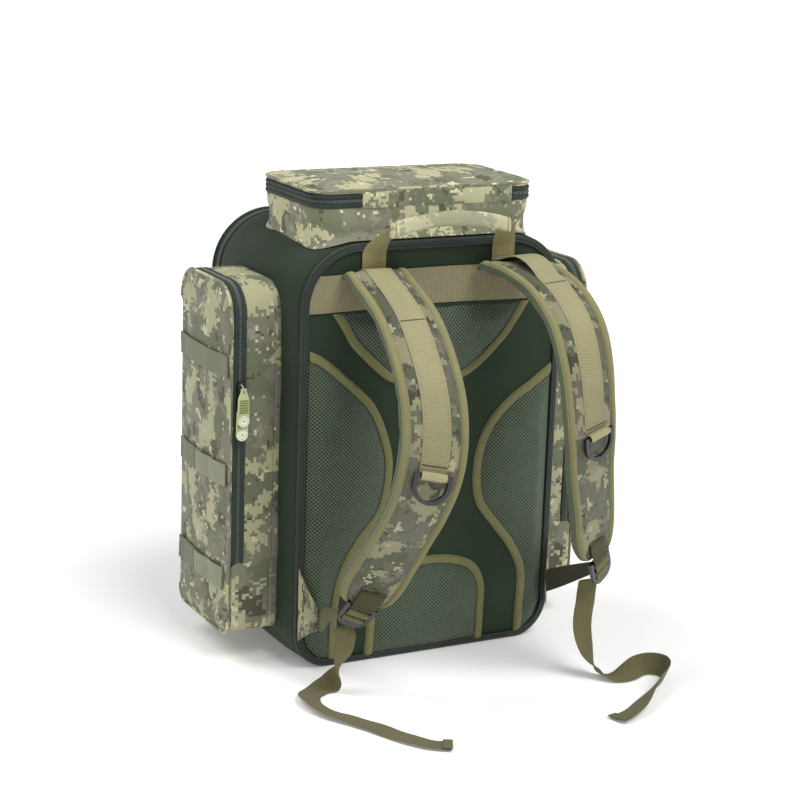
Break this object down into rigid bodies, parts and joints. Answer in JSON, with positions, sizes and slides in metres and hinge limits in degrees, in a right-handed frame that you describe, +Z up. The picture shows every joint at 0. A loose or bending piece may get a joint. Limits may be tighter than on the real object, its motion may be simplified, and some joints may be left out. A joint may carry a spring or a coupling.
{
  "type": "tackle backpack",
  "caption": "Boxy fishing tackle backpack with padded shoulder straps, mesh back pads, camouflage side pockets, a lidded top pocket and a carry handle.",
  "frame": {"origin": "on the ground under the middle of the bag, between the back panel and the opening lid", "axes": "+Z up as the bag stands, -Y out of the back panel towards the wearer, +X to the right seen from the wearer's side"},
  "size_m": [0.4462, 0.5509, 0.527],
  "materials": {
    "dark_fabric": "woven polyester, dark green",
    "camo_fabric": "woven polyester with a digital camouflage print",
    "tan_webbing": "ribbed webbing",
    "olive_webbing": "ribbed webbing",
    "air_mesh": "spacer mesh over foam",
    "piping": "corded binding",
    "zip_tape": "zip tape with a nylon coil",
    "board": "stiffener sheet",
    "buckle_plastic": "moulded nylon",
    "slider_metal": "dark nickel",
    "tab_rubber": "soft moulded rubber"
  },
  "bodies": {
    "bag": {"main_shell": "dark_fabric", "back_panel": "dark_fabric", "back_piping": "piping", "back_board": "board", "base_board": "board", "main_zip": "zip_tape", "left_pocket_shell": "camo_fabric", "left_pocket_zip": "zip_tape", "left_molle_lower": "tan_webbing", "right_pocket_shell": "camo_fabric", "right_pocket_zip": "zip_tape", "right_molle_lower": "tan_webbing", "top_pocket_shell": "camo_fabric", "top_pocket_zip": "zip_tape", "mesh_pad_top": "air_mesh", "mesh_pad_left": "air_mesh", "mesh_pad_right": "air_mesh", "mesh_pad_bottom": "air_mesh", "yoke_webbing": "tan_webbing", "left_corner_patch": "camo_fabric", "right_corner_patch": "camo_fabric"},
    "front_lid": {"front_panel": "dark_fabric", "front_pocket_shell": "camo_fabric", "front_pocket_zip": "zip_tape"},
    "front_flap": {"front_pocket_flap": "camo_fabric"},
    "left_flap": {"left_pocket_flap": "camo_fabric", "left_molle_upper": "tan_webbing", "left_molle_middle": "tan_webbing"},
    "right_flap": {"right_pocket_flap": "camo_fabric", "right_molle_upper": "tan_webbing", "right_molle_middle": "tan_webbing"},
    "top_lid": {"top_lid": "camo_fabric"},
    "handle": {"handle_webbing": "tan_webbing", "handle_grip": "camo_fabric"},
    "left_strap": {"left_shoulder_pad": "camo_fabric", "left_strap_webbing": "tan_webbing", "left_lower_webbing": "olive_webbing", "left_tail": "olive_webbing"},
    "right_strap": {"right_shoulder_pad": "camo_fabric", "right_strap_webbing": "tan_webbing", "right_lower_webbing": "olive_webbing", "right_tail": "olive_webbing"},
    "left_ring": {"left_d_ring": "buckle_plastic"},
    "right_ring": {"right_d_ring": "buckle_plastic"},
    "left_buckle": {"left_buckle": "buckle_plastic"},
    "right_buckle": {"right_buckle": "buckle_plastic"},
    "left_zip_upper_slider": {"left_zip_upper_slider": "slider_metal"},
    "left_zip_upper_tab": {"left_zip_upper_tab": "tab_rubber"},
    "left_zip_lower_slider": {"left_zip_lower_slider": "slider_metal"},
    "left_zip_lower_tab": {"left_zip_lower_tab": "tab_rubber"},
    "right_zip_upper_slider": {"right_zip_upper_slider": "slider_metal"},
    "right_zip_upper_tab": {"right_zip_upper_tab": "tab_rubber"},
    "right_zip_lower_slider": {"right_zip_lower_slider": "slider_metal"},
    "right_zip_lower_tab": {"right_zip_lower_tab": "tab_rubber"},
    "top_zip_slider": {"top_zip_slider": "slider_metal"},
    "top_zip_tab": {"top_zip_tab": "tab_rubber"},
    "main_zip_slider": {"main_zip_slider": "slider_metal"},
    "main_zip_tab": {"main_zip_tab": "tab_rubber"},
    "front_zip_slider": {"front_zip_slider": "slider_metal"},
    "front_zip_tab": {"front_zip_tab": "tab_rubber"}
  },
  "joints": [
    {"name": "front_lid_hinge", "type": "hinge", "parent": "bag", "child": "front_lid", "pos_m": [0, 0.125, 0.0523], "axis": [-1, 0, 0], "range_deg": [0, 90]},
    {"name": "front_flap_hinge", "type": "hinge", "parent": "front_lid", "child": "front_flap", "pos_m": [0, 0.163, 0.1163], "axis": [-1, 0, 0], "range_deg": [0, 100]},
    {"name": "left_flap_hinge", "type": "hinge", "parent": "bag", "child": "left_flap", "pos_m": [-0.221, -0.002, 0.1163], "axis": [0, -1, 0], "range_deg": [0, 100]},
    {"name": "right_flap_hinge", "type": "hinge", "parent": "bag", "child": "right_flap", "pos_m": [0.221, -0.002, 0.1163], "axis": [0, 1, 0], "range_deg": [0, 100]},
    {"name": "top_lid_hinge", "type": "hinge", "parent": "bag", "child": "top_lid", "pos_m": [0, -0.098, 0.522], "axis": [1, 0, 0], "range_deg": [0, 100]},
    {"name": "handle_hinge", "type": "hinge", "parent": "bag", "child": "handle", "pos_m": [0, -0.1175, 0.4545], "axis": [1, 0, 0], "range_deg": [0, 25]},
    {"name": "left_strap_hinge", "type": "hinge", "parent": "bag", "child": "left_strap", "pos_m": [-0.08, -0.116, 0.44], "axis": [0.1486, 0.0365, 0.9882], "range_deg": [-9, 9]},
    {"name": "right_strap_hinge", "type": "hinge", "parent": "bag", "child": "right_strap", "pos_m": [0.08, -0.116, 0.44], "axis": [-0.1762, 0.0587, 0.9826], "range_deg": [-9, 9]},
    {"name": "left_ring_hinge", "type": "hinge", "parent": "left_strap", "child": "left_ring", "pos_m": [-0.10055, -0.30942, 0.2695], "axis": [-0.9646, 0.1652, 0.2056], "range_deg": [0, 150]},
    {"name": "right_ring_hinge", "type": "hinge", "parent": "right_strap", "child": "right_ring", "pos_m": [0.10261, -0.29478, 0.28999], "axis": [-0.9424, -0.2427, -0.2302], "range_deg": [0, 150]},
    {"name": "left_buckle_hinge", "type": "hinge", "parent": "left_strap", "child": "left_buckle", "pos_m": [-0.12758, -0.21307, 0.10261], "axis": [-0.9078, 0.0561, 0.4156], "range_deg": [0, 35]},
    {"name": "right_buckle_hinge", "type": "hinge", "parent": "right_strap", "child": "right_buckle", "pos_m": [0.12652, -0.27224, 0.14454], "axis": [-0.8281, -0.4203, -0.3708], "range_deg": [0, 35]},
    {"name": "left_zip_upper_slide", "type": "slide", "parent": "bag", "child": "left_zip_upper_slider", "axis": [0, 0, 1], "range_m": [0, 0.066]},
    {"name": "left_zip_lower_slide", "type": "slide", "parent": "bag", "child": "left_zip_lower_slider", "axis": [0, 0, -1], "range_m": [0, 0.165]},
    {"name": "left_zip_upper_swing", "type": "hinge", "parent": "left_zip_upper_slider", "child": "left_zip_upper_tab", "pos_m": [-0.21, -0.08335, 0.314], "axis": [-1, 0, 0], "range_deg": [0, 150]},
    {"name": "left_zip_lower_swing", "type": "hinge", "parent": "left_zip_lower_slider", "child": "left_zip_lower_tab", "pos_m": [-0.21, -0.08015, 0.298], "axis": [-1, 0, 0], "range_deg": [0, 150]},
    {"name": "right_zip_upper_slide", "type": "slide", "parent": "bag", "child": "right_zip_upper_slider", "axis": [0, 0, 1], "range_m": [0, 0.066]},
    {"name": "right_zip_lower_slide", "type": "slide", "parent": "bag", "child": "right_zip_lower_slider", "axis": [0, 0, -1], "range_m": [0, 0.165]},
    {"name": "right_zip_upper_swing", "type": "hinge", "parent": "right_zip_upper_slider", "child": "right_zip_upper_tab", "pos_m": [0.21, -0.08335, 0.314], "axis": [-1, 0, 0], "range_deg": [0, 150]},
    {"name": "right_zip_lower_swing", "type": "hinge", "parent": "right_zip_lower_slider", "child": "right_zip_lower_tab", "pos_m": [0.21, -0.08015, 0.298], "axis": [-1, 0, 0], "range_deg": [0, 150]},
    {"name": "top_zip_slide", "type": "slide", "parent": "bag", "child": "top_zip_slider", "axis": [1, 0, 0], "range_m": [-0.09, 0.09]},
    {"name": "top_zip_swing", "type": "hinge", "parent": "top_zip_slider", "child": "top_zip_tab", "pos_m": [-0.006, 0.05615, 0.5147], "axis": [0, 0, -1], "range_deg": [0, 150]},
    {"name": "main_zip_slide", "type": "slide", "parent": "bag", "child": "main_zip_slider", "axis": [1, 0, 0], "range_m": [-0.07, 0.07]},
    {"name": "main_zip_swing", "type": "hinge", "parent": "main_zip_slider", "child": "main_zip_tab", "pos_m": [0, 0.111, 0.48015], "axis": [0, 1, 0], "range_deg": [0, 150]},
    {"name": "front_zip_slide", "type": "slide", "parent": "front_lid", "child": "front_zip_slider", "axis": [1, 0, 0], "range_m": [-0.06, 0.06]},
    {"name": "front_zip_swing", "type": "hinge", "parent": "front_zip_slider", "child": "front_zip_tab", "pos_m": [0, 0.153, 0.34215], "axis": [0, 1, 0], "range_deg": [0, 150]}
  ],
  "couplings": [
    {"joint": "left_zip_lower_swing", "follows": "left_zip_upper_swing", "ratio": 1},
    {"joint": "right_zip_lower_swing", "follows": "right_zip_upper_swing", "ratio": 1}
  ]
}
